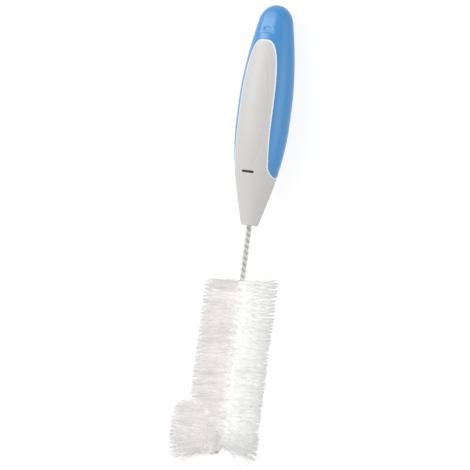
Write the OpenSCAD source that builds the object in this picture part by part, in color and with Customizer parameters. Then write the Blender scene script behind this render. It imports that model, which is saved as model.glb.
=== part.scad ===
// Bottle brush: an oval two-shot handle, a stem of twisted wire, and nylon bristles.
// The last stretch of the wire is folded back beside the stem, so that its bristles
// stand out to one side as a toe for the corner of a bottle.
//
// Every piece is drawn in the handle's own frame: x runs along the stem, from 0 at the
// nose of the handle to handle_len at its butt, and z points out of the front window.
// laid_down() then turns the whole brush so that it lies on the floor at z = 0, on the
// ring of bristles nearest the handle and on the handle's belly.

/* [Handle] */
// Length of the handle, nose to butt
handle_len = 150.5; // [140:0.5:175]
// Width of the handle across its belly
belly_w = 38.2; // [34:0.2:44]
// Thickness of the handle through its belly, front to back
belly_t = 30.2; // [26:0.2:34]
// Width of the nose, where the wire comes out
nose_w = 12; // [10:0.2:16]
// Distance from the nose to the full width of the belly
belly_start = 71; // [60:1:78]
// Distance from the nose to where the belly starts to narrow toward the butt
belly_end = 84; // [80:1:96]
// Width that the handle tapers to at the butt, but for its round end
butt_w = 19.4; // [18:0.2:28]
// Distance from the nose to the round end of the butt
dome_start = 138; // [134:0.5:142]
// Edge break round the flat end of the nose
nose_chamfer = 0.8; // [0.3:0.1:1.5]

/* [Front window] */
// Distance from the nose to the rounded top of the white window
window_end = 125.8; // [118:0.2:127]
// Width of the window
window_w = 26.2; // [22:0.2:28]
// Length of the window's rounded top
window_arch = 44; // [30:1:60]
// Distance from the nose to the lower tip of the soft grip on each flank
lobe_start = 34; // [28:0.5:40]
// Length of the rounded lower end of each flank
lobe_round = 11; // [8:0.5:14]
// Height of each flank where its rounded end meets the window's edge
lobe_h = 16.8; // [13:0.2:20]

/* [Thumb pad and slot] */
// Distance from the nose to the lower tip of the raised thumb pad
pad_start = 38; // [30:0.5:46]
// Distance from the nose to the upper tip of the thumb pad
pad_end = 117; // [100:0.5:120]
// Rise of the thumb pad above the window
pad_rise = 0.8; // [0.4:0.1:1.4]
// Share of the belly's own flatness that the pad's section has
pad_roundness = 0.845; // [0.8:0.005:0.88]
// Distance from the nose to the short slot below the thumb pad
slot_at = 36; // [28:0.2:44]
// Length of the slot across the handle
slot_l = 9.4; // [5:0.2:11]
// Width of the slot
slot_w = 1.7; // [1:0.1:2.5]
// Depth of the slot
slot_depth = 0.8; // [0.4:0.1:1.5]

/* [Soft grip] */
// Thickness of the soft grip over the hard core
skin = 1.7; // [1.2:0.1:2.5]
// Distance from the nose to the end of the hard core inside the butt
core_end = 128; // [120:1:134]
// Distance from the nose to the ledge below the crowned cap
cap_at = 130.4; // [129:0.2:136]
// Drop from the grip to the cap at the ledge
cap_drop = 1; // [0.4:0.1:1.2]
// Radius of the cap's crown, side view
cap_crown = 48; // [40:1:70]
// Radius of the arched ledge
cap_arch = 22; // [18:1:40]
// Distance from the ledge to the middle of the shallow pocket in the cap
pocket_up = 2.8; // [2.6:0.2:5]
// Width of the pocket across the handle
pocket_w = 6; // [4:0.2:7]
// Height of the pocket along the handle
pocket_h = 2.3; // [1.5:0.1:3]
// Depth of the pocket
pocket_depth = 0.6; // [0.3:0.1:0.8]

/* [Wire] */
// Diameter of one strand of the wire
strand_d = 2.1; // [1.6:0.1:2.6]
// Length of one full turn of the two strands
twist_pitch = 8; // [7.6:0.2:12]
// Bare wire between the handle and the bristles
stem_free = 38; // [20:1:60]
// Depth to which the wire is set in the handle
wire_anchor = 25; // [15:1:35]
// Distance between the stem and the folded-back arm, centre to centre
fold_gap = 10.6; // [9.4:0.2:14]
// Direction of the fold, turned from the front of the handle to its left
fold_turn = 50; // [30:1:70]
// Length of the folded-back arm from the bend to its tip
arm_len = 27; // [20:1:40]
// Distance of the two strands from the centre line in the closing loop at the tip
loop_r = 1.6; // [1.4:0.1:2.2]
// Gap between the wire and what holds it
wire_gap = 0.1; // [0.02:0.01:0.15]

/* [Bristles] */
// Diameter of the brush across its bristles
brush_d = 50; // [40:1:60]
// Length of the bristles along the stem
brush_len = 111.5; // [90:0.5:130]
// Wall of the root of the bristles round the wire
root_wall = 0.9; // [0.6:0.1:1.2]
// Number of bristle clumps round the wire
clumps = 20; // [16:2:24]
// Spacing of the clumps along the wire
clump_step = 2.2; // [1.9:0.02:3]
// Part of a clump's room that its fanned-out end fills
clump_fan = 0.75; // [0.4:0.05:0.9]
// Part of the bristle length that is cut unevenly
ragged = 0.05; // [0:0.01:0.1]
// Lean of the rows of bristles: toward the handle on one side, away from it on the other
row_lean = 6; // [0:0.5:8]
// Side that leans toward the handle, turned from the front of the handle to its right
row_side = 122; // [90:1:150]
// Further lean of the bristles away from the handle at the bend
end_splay = 19; // [0:1:20]
// Length over which the bristles lean more and more toward the bend
splay_len = 18; // [8:1:24]
// How much shorter the bristles are cut at the toe's free end
toe_cut = 5; // [0:0.5:8]
// Length over which the toe's bristles get shorter toward its free end
toe_cut_len = 13; // [6:1:20]
// Length over which the stem's bristles close up again above the toe
parting_run = 4; // [2:0.5:10]
// Angle by which the toe's bristles run on round the bend
toe_wrap = 40; // [10:1:45]
// Half the gap between the two arms' bristles where they part
parting = 0.7; // [0.3:0.1:1]

/* [Hidden] */
over = 1;                                // how far a cutting shape runs past what it cuts
fine = 96;                               // sides of a drawn circle
taper_power = 1.75;                      // how late the handle narrows toward its butt
dome_power = 2.8;                        // fullness of the round end, 2 an ellipse
nose_steps = 14;                         // bands of the handle, nose to belly
taper_steps = 9;                         // bands of the handle, belly to its round end
dome_steps = 10;                         // bands of the round end
outline_steps = 12;                      // points of a rounded outline
window_power = 3.4;                      // fullness of the window's rounded top, 2 an ellipse
cap_ease = 6;                            // how much less the cap leans at its ledge
belly_r = belly_w / 2;
nose_r = nose_w / 2;
flatness = belly_t / belly_w;
reach = belly_w;                         // half-size of a cut that takes the whole handle
strand_r = strand_d / 2;
strand_off = strand_r + 0.02;            // each strand's centre from the wire's centre line
wire_r = strand_off + strand_r;          // radius that the twisted pair sweeps
bore_r = wire_r + wire_gap;
root_r = bore_r + root_wall;
brush_r = brush_d / 2;
bend_r = fold_gap / 2;
bend_x = -stem_free - brush_len;         // where the bend starts, along the stem
fold_dir = [0, sin(fold_turn), cos(fold_turn)];
row_dir = [0, -sin(row_side), cos(row_side)];
rings_per_turn = 6;                      // cross-sections of a strand in one turn
strand_sides = 5;                        // sides of a strand's cross-section
loop_steps = 6;                          // cross-sections of the closing loop
loop_lead = 1.5;                         // untwisted length before the closing loop
clump_angle = 360 / clumps;

// ---- outline of the handle ----

// Half the handle's width at distance x from the nose, up to the end of the belly
function lower_r(x) = nose_r + (belly_r - nose_r) * sin(90 * min(1, x / belly_start));

// Half the handle's width at distance x from the nose, past the belly
function upper_r(x) =
    let (u = (x - belly_end) / (handle_len - belly_end),
         v = max(0, x - dome_start) / (handle_len - dome_start))
    (belly_r - (belly_r - butt_w / 2) * pow(u, taper_power))
        * sqrt(max(0, 1 - pow(v, dome_power)));

// Half the handle's width at distance x from the nose
function half_w(x) = x <= belly_end ? lower_r(x) : upper_r(min(x, handle_len));

// Points [half width, x] of the handle, nose to butt, without the end points on the axis
handle_edge = concat(
    [[nose_r - nose_chamfer, 0]],
    [for (i = [0 : nose_steps])
        let (x = nose_chamfer + (belly_start - nose_chamfer) * i / nose_steps)
        [lower_r(x), x]],
    [for (i = [0 : taper_steps])
        let (x = belly_end + (dome_start - belly_end) * i / taper_steps) [half_w(x), x]],
    [for (i = [1 : dome_steps - 1])
        let (x = dome_start + (handle_len - dome_start) * sin(90 * i / dome_steps))
        [half_w(x), x]]);

// ---- shapes of the handle ----

// Turns a shape that stands on z so that it lies on x, with its y as the new z
module along_x() { rotate([90, 0, 90]) children(); }

// An oval body round the x axis from points [half width, x], flattened front to back
module oval(points, flat) {
    first = points[0];
    last = points[len(points) - 1];
    along_x() scale([1, flat, 1]) rotate_extrude($fn = fine)
        polygon(concat([[0, first[1]]], points, [[0, last[1]]]));
}

// A side view drawn in x and z, carried through the handle from side to side
module side_cut() {
    translate([0, reach, 0]) rotate([90, 0, 0]) linear_extrude(2 * reach) children();
}

// A front view drawn in x and y, carried through the handle from back to front
module front_cut() { translate([0, 0, -reach]) linear_extrude(2 * reach) children(); }

// Lean of the cap's crown at its ledge: less than the slope that the handle has there
cap_lean = atan(flatness * (half_w(cap_at - over) - half_w(cap_at + over)) / (2 * over))
    - cap_ease;

// Centre of the cap's crown in the side view, [x, z]
cap_centre = [cap_at - cap_crown * sin(cap_lean),
              flatness * half_w(cap_at) - cap_drop - cap_crown * cos(cap_lean)];

// Height of the cap's crown at distance x from the nose
function cap_z(x) = cap_centre[1] + sqrt(pow(cap_crown, 2) - pow(x - cap_centre[0], 2));

// The solid above the crowned cap on the front of the butt, down to its arched ledge
module cap_relief() {
    difference() {
        side_cut() difference() {
            translate([cap_at - over * 2, 0]) square([handle_len, reach]);
            translate(cap_centre) circle(cap_crown, $fn = fine);
        }
        translate([cap_at - cap_arch, 0, -over]) cylinder(h = reach, r = cap_arch, $fn = fine);
    }
}

// The whole handle, both mouldings together
module handle_form() {
    difference() {
        oval(concat(handle_edge, [[0, handle_len]]), flatness);
        cap_relief();
    }
}

// The hard core under the soft grip
module core() {
    oval(concat([for (p = handle_edge) if (p[1] > lobe_start - 2 * skin && p[1] < core_end)
                    [p[0] - skin, p[1]]],
                [[half_w(core_end) - skin, core_end]]), flatness);
}

// Front view of the white window, open toward the nose
module window_outline() {
    edge = concat([[-over, window_w / 2]],
                  [for (i = [0 : outline_steps])
                      let (a = 90 * i / outline_steps)
                      [window_end - window_arch * (1 - sin(a)),
                       window_w / 2 * pow(cos(a), 2 / window_power)]]);
    polygon(concat(edge, [for (i = [len(edge) - 2 : -1 : 0]) [edge[i][0], -edge[i][1]]]));
}

// Side view of one flank of the soft grip, open toward the butt
module flank_outline() {
    low = [for (i = [-outline_steps : outline_steps])
              let (a = 90 * i / outline_steps)
              [lobe_start + lobe_round * (1 - cos(a)), lobe_h / 2 * sin(a)]];
    polygon(concat(low, [[belly_start, reach / 2], [belly_end, reach], [handle_len + over, reach],
                         [handle_len + over, -reach], [belly_end, -reach],
                         [belly_start, -reach / 2]]));
}

// Everything that the soft grip fills between the core and the handle's surface
module grip_zone() {
    difference() {
        side_cut() flank_outline();
        front_cut() window_outline();
        core();
    }
}

// The raised thumb pad: a rounder oval that stands out of the front of the handle
module thumb_pad() {
    mid = (pad_start + pad_end) / 2;
    half = (pad_end - pad_start) / 2;
    flat = flatness / pad_roundness;
    steps = 12;
    run_out = 1.08;                      // the pad's body runs on below the surface
    points = [for (i = [-steps : steps])
                 let (u = run_out * i / steps,
                      x = mid + half * u)
                 [(flatness * half_w(x) + pad_rise * (1 - u * u)) / flat, x]];
    intersection() {
        oval(points, flat);
        translate([0, -reach, 0]) cube([handle_len, 2 * reach, reach]);
    }
}

// A slot with round ends across the handle, cut down to z = floor_z
module round_slot(x, length, width, floor_z) {
    translate([x, 0, floor_z]) linear_extrude(reach) union() {
        square([width, length - width], center = true);
        for (side = [-1, 1]) translate([0, side * (length - width) / 2])
            circle(width / 2, $fn = fine);
    }
}

// ---- wire ----

// Unit vector along v
function unit(v) = v / norm(v);

// Centre line of the wire at distance s from its inner end:
// [place, direction, outward normal of the bend]
function wire_frame(s) =
    let (down = wire_anchor - bend_x,
         turn = bend_r * PI)
    s < down ? [[wire_anchor - s, 0, 0], [-1, 0, 0], -fold_dir]
    : s < down + turn
        ? let (a = (s - down) / bend_r * 180 / PI,
               out = -cos(a) * fold_dir - sin(a) * [1, 0, 0])
          [[bend_x, 0, 0] + bend_r * (fold_dir + out),
           sin(a) * fold_dir - cos(a) * [1, 0, 0], out]
        : [[bend_x + s - down - turn, 0, 0] + fold_gap * fold_dir, [1, 0, 0], fold_dir];

wire_len = wire_anchor - bend_x + bend_r * PI + arm_len;
twist_len = wire_len - loop_lead;
wire_rings = round(twist_len / twist_pitch * rings_per_turn);

// Centre of one strand, and the point of the wire's centre line beside it.
// phase is 0 for one strand and 180 for the other; both turn like a left-hand screw.
function strand_at(s, phase) =
    let (f = wire_frame(s),
         a = phase - 360 * min(s, twist_len) / twist_pitch,
         off = strand_off + (loop_r - strand_off) * max(0, s - twist_len) / loop_lead,
         side = cos(a) * f[2] + sin(a) * cross(f[1], f[2]))
    [f[0] + off * side, f[0], side];

// The closing loop, which joins the two strands at the tip of the folded arm
function loop_at(a) =
    let (f = wire_frame(wire_len - 0.001), s = strand_at(wire_len, 0),
         side = cos(a) * s[2] + sin(a) * f[1])
    [f[0] + loop_r * side, f[0], side];

// The one wire: down as the first strand, round the loop and back as the second
strand_line = concat(
    [for (i = [0 : wire_rings]) strand_at(twist_len * i / wire_rings, 0)],
    [for (i = [1 : 2]) strand_at(twist_len + loop_lead * i / 2, 0)],
    [for (i = [1 : loop_steps - 1]) loop_at(180 * i / loop_steps)],
    [for (i = [2 : -1 : 1]) strand_at(twist_len + loop_lead * i / 2, 180)],
    [for (i = [wire_rings : -1 : 0]) strand_at(twist_len * i / wire_rings, 180)]);

// A closed tube of radius r and the given number of sides along a list of
// [place, anything, direction of the first side]
module tube(line, r, sides) {
    last = len(line) - 1;
    points = [for (i = [0 : last])
        let (d = unit(line[min(last, i + 1)][0] - line[max(0, i - 1)][0]),
             u = unit(line[i][2] - (line[i][2] * d) * d),
             v = cross(d, u))
        for (k = [0 : sides - 1])
            let (a = 360 * k / sides) line[i][0] + r * (cos(a) * u + sin(a) * v)];
    skin_faces = [for (i = [0 : last - 1], k = [0 : sides - 1])
        let (n = (k + 1) % sides, p = i * sides, q = p + sides)
        for (t = [[p + k, q + k, q + n], [p + k, q + n, p + n]]) t];
    polyhedron(points, concat(skin_faces, [[for (k = [0 : sides - 1]) k]],
        [[for (k = [sides - 1 : -1 : 0]) last * sides + k]]), convexity = 10);
}

// ---- bristles ----

// A fixed value between 0 and 1 that looks random, for clump i of row j
function scatter(i, j) =
    let (v = sin(127.1 * i + 311.7 * j + 40) * 4375.85) v - floor(v);

// An angle from the side turned away from the other arm, brought back toward that side:
// at full force no clump is left across the parting
function parted(a, force) =
    let (b = a - 360 * floor((a + 180) / 360)) b * (1 - force * least_angle / 180);

// The smallest angle to the other arm's direction that keeps a tip behind the parting
least_angle = acos((bend_r - parting) / brush_r);

// Share of the full parting force on the stem's bristles at distance x from the nose
function part_force(x) =
    let (clear = bend_x + arm_len + loop_r + strand_r + clump_step / 2)
    min(1, max(0, 1 - (x - clear) / parting_run));

// Lean of the stem's bristles toward the bend at distance x from the nose
function stem_lean(x) = end_splay * min(1, max(0, 1 - (x - bend_x) / splay_len));

// Points of one ring of the root: radius r at distance s along the wire, turned by turn
function root_ring(s, r, turn) =
    let (f = wire_frame(s), v = cross(f[1], f[2]))
    [for (k = [0 : clumps - 1])
        let (a = turn + k * clump_angle) f[0] + r * (cos(a) * f[2] + sin(a) * v)];

// Fanned-out ends of one row of clumps at distance s along the wire, two points a clump.
// They lean by lean toward the wire's far end, less skew on the side of row_dir and more
// opposite it. reach is their distance from the wire, and cut the uneven part of it
function tip_row(s, turn, force, lean, skew, row, reach, cut) =
    let (f = wire_frame(s), v = cross(f[1], f[2]), fan = clump_angle * clump_fan / 2)
    [for (k = [0 : clumps - 1], side = [-fan, fan])
        let (a = parted(turn + k * clump_angle, force) + side * (1 - force * least_angle / 180),
             r = reach * (1 - cut * scatter(k + sign(side) / 3, row)),
             out = cos(a) * f[2] + sin(a) * v,
             b = lean - skew * (out * row_dir))
        f[0] + r * (cos(b) * out + sin(b) * f[1])];

// A root tube round the wire, its outside drawn out cell by cell into clumps that end in
// an edge. rings: distances along the wire of the cells' borders; tips: a row of ends for
// each row of cells; bores: numbers of the rings between which the bore runs straight;
// turn: angle of the first border
module bristle_body(rings, tips, bores, turn) {
    n = clumps;
    half = clump_angle / 2;
    rows = len(tips);
    outer = [for (j = [0 : rows]) for (p = root_ring(rings[j], root_r, turn + (j - 1) * half)) p];
    inner = [for (j = bores) for (p = root_ring(rings[j], bore_r, turn + (j - 1) * half)) p];
    t = len(outer);
    o = t + 2 * n * rows;
    last = len(bores) - 1;
    clump_faces = [for (j = [0 : rows - 1], k = [0 : n - 1])
        let (m = (k + 1) % n, a = j * n + k, b = j * n + m, c = a + n, d = b + n,
             p = t + 2 * (j * n + k), q = p + 1)
        for (f = [[b, a, p], [b, p, q], [d, b, q], [c, d, q], [c, q, p], [a, c, p]]) f];
    bore_faces = [for (j = [0 : last - 1], k = [0 : n - 1])
        let (back = floor((bores[j + 1] - bores[j]) / 2) % n,
             e = o + j * n, g = e + n,
             a = e + k, b = e + (k + 1) % n,
             c = g + (k + n - back) % n, d = g + (k + 1 + n - back) % n)
        for (f = [[a, b, c], [b, d, c]]) f];
    rim_faces = [for (k = [0 : n - 1])
        let (m = (k + 1) % n, e = rows * n, g = o + last * n)
        for (f = [[k, m, o + m], [k, o + m, o + k],
                  [e + m, e + k, g + k], [e + m, g + k, g + m]]) f];
    polyhedron(concat(outer, [for (row = tips) for (p = row) p], inner),
               concat(clump_faces, bore_faces, rim_faces), convexity = 10);
}

stem_rows = 2 * round(brush_len / clump_step / 2);
stem_rings = [for (j = [0 : stem_rows]) wire_anchor + stem_free + brush_len * j / stem_rows];
stem_tips = [for (j = [0 : stem_rows - 1])
    let (s = (stem_rings[j] + stem_rings[j + 1]) / 2, x = wire_frame(s)[0][0])
    tip_row(s, -fold_turn + clump_angle * j / 2, part_force(x), stem_lean(x), row_lean, j,
            brush_r, j == 0 ? 0 : ragged)];

toe_first = wire_anchor - bend_x + bend_r * PI * (1 - toe_wrap / 180);
toe_rows = round((twist_len - toe_first) / clump_step);
toe_rings = [for (j = [0 : toe_rows]) toe_first + (twist_len - toe_first) * j / toe_rows];
toe_tips = [for (j = [0 : toe_rows - 1])
    let (s = (toe_rings[j] + toe_rings[j + 1]) / 2,
         short = toe_cut * pow(max(0, 1 - (twist_len - s) / toe_cut_len), 2))
    tip_row(s, clump_angle * (j + 1) / 2, 1, 0, 0, j, brush_r - short, ragged)];

// ---- how the brush lies ----

// Fall of the stem toward the butt when the brush rests on its bristles and its belly
tilt = atan(max([for (row = stem_tips, p = row)
    min([for (q = handle_edge) (-flatness * q[0] - p[2]) / (q[1] - p[0])])]));

// A point of the handle's frame once the brush has been tilted
function tilted(p) = [p[0] * cos(tilt) + p[2] * sin(tilt), p[1],
                      p[2] * cos(tilt) - p[0] * sin(tilt)];

resting = [for (row = concat(stem_tips, toe_tips), p = row) tilted(p)];
lowest = min([for (p = resting) p[2]]);
far_end = min([for (p = resting) p[0]]);
butt_at = handle_len * cos(tilt);
left_side = max([for (p = resting) p[1]]);
right_side = min([for (p = resting) p[1]]);

// Puts a piece on the floor, with the middle of the whole brush over the origin
module laid_down() {
    translate([-(far_end + butt_at) / 2, -(left_side + right_side) / 2, -lowest])
        rotate([0, tilt, 0]) children();
}

// ---- pieces ----

// Hard white moulding: core, both windows, nose and thumb pad
module handle_body() {
    slot_floor = flatness * half_w(slot_at) - slot_depth;
    color("whitesmoke") laid_down() difference() {
        union() {
            handle_form();
            thumb_pad();
        }
        grip_zone();
        round_slot(slot_at, slot_l, slot_w, slot_floor);
        translate([-over, 0, 0]) along_x()
            cylinder(h = over + wire_anchor + strand_r, r = bore_r, $fn = fine);
    }
}

// Soft blue grip moulded over the core: both flanks and the butt
module grip_cover() {
    pocket_at = cap_at + pocket_up;
    color("cornflowerblue") laid_down() difference() {
        intersection() {
            handle_form();
            grip_zone();
        }
        round_slot(pocket_at, pocket_w, pocket_h, cap_z(pocket_at) - pocket_depth);
    }
}

// One wire, folded in half and twisted left-handed, with its last stretch folded back
module stem_wire() { color("silver") laid_down() tube(strand_line, strand_r, strand_sides); }

// Nylon bristles along the stem
module bristles_main() {
    color("white") laid_down()
        bristle_body(stem_rings, stem_tips, [0, stem_rows], -fold_turn - clump_angle / 4);
}

// Nylon bristles of the toe
module bristles_toe() {
    color("white") laid_down()
        bristle_body(toe_rings, toe_tips, [for (j = [0 : toe_rows]) j], clump_angle / 4);
}

handle_body();
grip_cover();
stem_wire();
bristles_main();
bristles_toe();
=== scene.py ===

"""Bottle brush: an oval two-colour handle, a twisted wire stem and nylon bristles.

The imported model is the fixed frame. Every piece made here lies in that frame, in metres,
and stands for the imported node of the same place. The pieces are drawn in the handle's own
frame first (x from the nose of the handle to its butt, z out of the front window) and
then laid down with it.
"""

import math

import bmesh
import bpy
import numpy as np
from mathutils import Matrix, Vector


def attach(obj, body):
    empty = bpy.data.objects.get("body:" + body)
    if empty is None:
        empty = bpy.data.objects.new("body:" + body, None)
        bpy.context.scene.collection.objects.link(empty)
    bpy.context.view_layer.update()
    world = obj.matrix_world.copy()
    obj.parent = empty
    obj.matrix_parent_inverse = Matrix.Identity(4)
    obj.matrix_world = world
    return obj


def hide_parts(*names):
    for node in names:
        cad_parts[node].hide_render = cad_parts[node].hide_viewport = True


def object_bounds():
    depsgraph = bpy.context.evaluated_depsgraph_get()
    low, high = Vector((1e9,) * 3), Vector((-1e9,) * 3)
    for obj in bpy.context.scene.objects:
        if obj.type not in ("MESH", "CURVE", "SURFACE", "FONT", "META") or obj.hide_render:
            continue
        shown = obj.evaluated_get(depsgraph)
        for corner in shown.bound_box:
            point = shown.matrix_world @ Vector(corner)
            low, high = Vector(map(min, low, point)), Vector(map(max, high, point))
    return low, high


bl_info = {
    "name": "Bottle brush",
    "version": (1, 0, 0),
    "blender": (4, 5, 0),
    "location": "3D View > Sidebar > Brush",
    "description": "Handle, twisted wire and bristles of a bottle brush, with its stage",
    "category": "Add Mesh",
}

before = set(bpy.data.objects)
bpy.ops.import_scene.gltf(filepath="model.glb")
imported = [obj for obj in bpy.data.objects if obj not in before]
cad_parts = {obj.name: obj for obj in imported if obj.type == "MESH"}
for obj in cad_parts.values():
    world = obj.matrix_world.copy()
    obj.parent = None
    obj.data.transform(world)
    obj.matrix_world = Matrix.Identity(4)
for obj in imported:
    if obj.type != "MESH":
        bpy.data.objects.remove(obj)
BOX_AT_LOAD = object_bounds()
BODY = "root"
MM = 0.001


# ---- the handle's own frame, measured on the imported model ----


def node_points(node):
    """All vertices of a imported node, as an array of points."""
    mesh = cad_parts[node].data
    co = np.empty(len(mesh.vertices) * 3, np.float32)
    mesh.vertices.foreach_get("co", co)
    return co.reshape(-1, 3).astype(float)


def handle_axes():
    """Origin and directions of the handle's frame.

    The flat end of the nose is square to the handle's axis. Its rim is the part of
    handle_body that lies nearest the bristles, and there x grows with z by the tangent
    of the fall of the axis. The middle of the rim is the origin.
    """
    rim_depth = 0.65 * MM
    co = node_points("handle_body")
    rim = co[co[:, 0] < co[:, 0].min() + rim_depth]
    fall = math.atan(np.polyfit(rim[:, 2], rim[:, 0], 1)[0])
    axes = np.array([[math.cos(fall), 0, -math.sin(fall)],
                     [0, 1, 0],
                     [math.sin(fall), 0, math.cos(fall)]])
    own = rim @ axes.T
    return (own.min(0) + own.max(0)) / 2 @ axes, axes


ORIGIN, AXES = handle_axes()


def laid_down(points):
    """Points of the handle's frame, moved to where the brush lies."""
    return ORIGIN + np.asarray(points) @ AXES


def own_box(node):
    """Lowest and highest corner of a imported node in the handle's frame."""
    own = (node_points(node) - ORIGIN) @ AXES.T
    return own.min(0), own.max(0)


GRIP_BOX = own_box("grip_cover")
WIRE_BOX = own_box("stem_wire")


# ---- sizes that a user would change ----


def length(name, text, default, least=0.0):
    """A property that holds a length in metres, or with a least below 0 a place."""
    return bpy.props.FloatProperty(name=name, description=text, default=default,
                                   min=least, unit="LENGTH", precision=5)


def degrees(name, text, default):
    """A property that holds an angle. The default is in degrees."""
    return bpy.props.FloatProperty(name=name, description=text,
                                   default=math.radians(default), subtype="ANGLE")


def colour(name, text, *default):
    """A property that holds a colour."""
    return bpy.props.FloatVectorProperty(name=name, description=text, default=default,
                                         size=3, min=0.0, max=1.0, subtype="COLOR")


class HandleSizes(bpy.types.PropertyGroup):
    """Sizes of the two mouldings of the handle."""

    full_length: length("Length", "Nose to butt", float(GRIP_BOX[1][0]))
    width: length("Width", "Across the belly", float(GRIP_BOX[1][1] - GRIP_BOX[0][1]))
    thickness: length("Thickness", "Front to back through the belly", 30.2 * MM)
    nose_width: length("Nose width", "Across the nose, where the wire comes out", 12 * MM)
    belly_start: length("Belly start", "From the nose to the full width", 71 * MM)
    belly_end: length("Belly end", "From the nose to the end of the full width", 84 * MM)
    window_end: length("Window end", "From the nose to the top of the window", 125.8 * MM)
    window_width: length("Window width", "Width of the window", 26.2 * MM)
    window_arch: length("Window arch", "Length of the rounded top", 44 * MM)
    lobe_start: length("Lobe start", "From the nose to the tip of each flank", 34 * MM)
    lobe_round: length("Lobe round", "Length of a flank's rounded end", 11 * MM)
    lobe_height: length("Lobe height", "Height of a flank past its rounded end", 16.8 * MM)
    skin: length("Grip thickness", "Soft grip over the hard core", 1.7 * MM)
    pad_start: length("Pad start", "From the nose to the pad's lower tip", 38 * MM)
    pad_end: length("Pad end", "From the nose to the pad's upper tip", 117 * MM)
    pad_rise: length("Pad rise", "Rise of the thumb pad above the window", 0.8 * MM)
    bead_width: length("Bead width", "Width of the raised rim of the window", 1.1 * MM)
    bead_rise: length("Bead rise", "Height of the raised rim of the window", 0.22 * MM)
    lip: length("Lip", "Edge rounding on both sides of the seam", 0.3 * MM)


class WireSizes(bpy.types.PropertyGroup):
    """Sizes of the twisted wire."""

    strand: length("Strand", "Diameter of one strand", 2.1 * MM)
    pitch: length("Pitch", "Length of one full turn of the twist", 8 * MM)
    anchor: length("Anchor", "Depth of the wire in the handle", float(WIRE_BOX[1][0]))
    bend_at: length("Bend", "From the nose to where the stem bends back", 149.5 * MM)
    fold_gap: length("Fold gap", "Stem to folded arm, centre to centre", 10.6 * MM)
    arm: length("Arm", "Bend to the tip of the folded arm", 27 * MM)
    fold_turn: degrees("Fold turn", "Direction of the fold, from the front to the left", 50)


class BristleSizes(bpy.types.PropertyGroup):
    """Sizes of the bristles."""

    head: length("Head", "Diameter across the bristles", 50 * MM)
    run: length("Run", "Length of the bristles along the stem", 111.5 * MM)
    filament: length("Filament", "Diameter of one filament", 0.22 * MM)
    per_metre: bpy.props.FloatProperty(
        name="Filaments per metre", description="Filaments held by a metre of the twist",
        default=75000.0, min=1000.0)
    seed: bpy.props.IntProperty(name="Seed", description="Order of the scatter", default=7)


class Finishes(bpy.types.PropertyGroup):
    """Colours of the materials. Soft patches go from a dull shade to a clear one."""

    moulding_dull: colour("Moulding dull", "Hard moulding, dull patches", 0.63, 0.615, 0.598)
    moulding_clear: colour("Moulding clear", "Hard moulding, the rest", 0.66, 0.645, 0.628)
    # painted highlight on the window's raised rim, tinted blue by the grip beside it
    rim: colour("Rim", "Raised rim of the window", 0.86, 0.92, 0.96)
    # near black inside the slot below the pad
    slot_black: colour("Slot", "Fill of the slot below the pad", 0.022, 0.022, 0.018)
    grip_dull: colour("Grip dull", "Soft grip, dull patches", 0.046, 0.272, 0.615)
    grip_clear: colour("Grip clear", "Soft grip, the rest", 0.056, 0.292, 0.645)
    steel_dull: colour("Steel dull", "Wire, dull patches", 0.66, 0.66, 0.645)
    steel_clear: colour("Steel clear", "Wire, the rest", 0.75, 0.75, 0.735)
    # the filaments come in a lit and a shaded copy: the cool side is the half of the stem
    # painted lighter, the warm side the half painted in shade, darker and pinker
    lit_half_dull: colour("Cool dull", "Dullest filament, cool side", 0.76, 0.765, 0.75)
    lit_half_clear: colour("Cool clear", "Clearest filament, cool side", 0.99, 0.99, 0.975)
    shaded_half_dull: colour("Warm dull", "Dullest filament, warm side", 0.64, 0.615, 0.605)
    shaded_half_clear: colour("Warm clear", "Clearest filament, warm side", 0.975, 0.95, 0.94)
    # painted light: the tips are paler, standing in for the shade deeper among the filaments
    tip: colour("Tips", "Tips of the filaments", 0.99, 0.985, 0.98)


class StageSettings(bpy.types.PropertyGroup):
    """The camera."""

    view_turn: degrees("View turn", "Camera turned from the front to the right side", 30.5)
    lean: degrees("Lean", "Lean of the handle in the picture", 7.5)
    field: length("Field", "Width of the picture at the brush", 317.7 * MM)
    distance: length("Distance", "Camera to brush", 2.6)
    aim_along: length("Aim along", "Middle of the picture, along the axis", -7.6 * MM, -1)
    aim_across: length("Aim across", "Middle of the picture, across it", -8.75 * MM, -1)


# ---- meshes ----


def new_mesh(name, points, faces):
    """A mesh of points and faces. faces are arrays of corners, with one row for each face."""
    mesh = bpy.data.meshes.new(name)
    mesh.vertices.add(len(points))
    mesh.vertices.foreach_set("co", points.ravel())
    corners = np.concatenate([part.ravel() for part in faces])
    mesh.loops.add(len(corners))
    mesh.loops.foreach_set("vertex_index", corners)
    sides = np.concatenate([np.full(len(part), part.shape[1]) for part in faces])
    mesh.polygons.add(len(sides))
    mesh.polygons.foreach_set("loop_start", np.cumsum(sides) - sides)
    mesh.update(calc_edges=True)
    return mesh


def write_values(mesh, name, values):
    """Stores a value or a vector for each vertex as an attribute of the mesh."""
    values = np.asarray(values, np.float32)
    kind, key = ("FLOAT_VECTOR", "vector") if values.ndim == 2 else ("FLOAT", "value")
    layer = mesh.attributes.new(name, kind, "POINT")
    layer.data.foreach_set(key, values.ravel())


def grid_faces(rows, columns, start=0):
    """Quads of a grid of rows by columns points, numbered row by row from start."""
    i = np.arange(rows - 1)[:, None] * columns
    j = np.arange(columns - 1)[None, :]
    a = (i + j + start).ravel()
    return np.stack([a, a + 1, a + 1 + columns, a + columns], 1)


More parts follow.
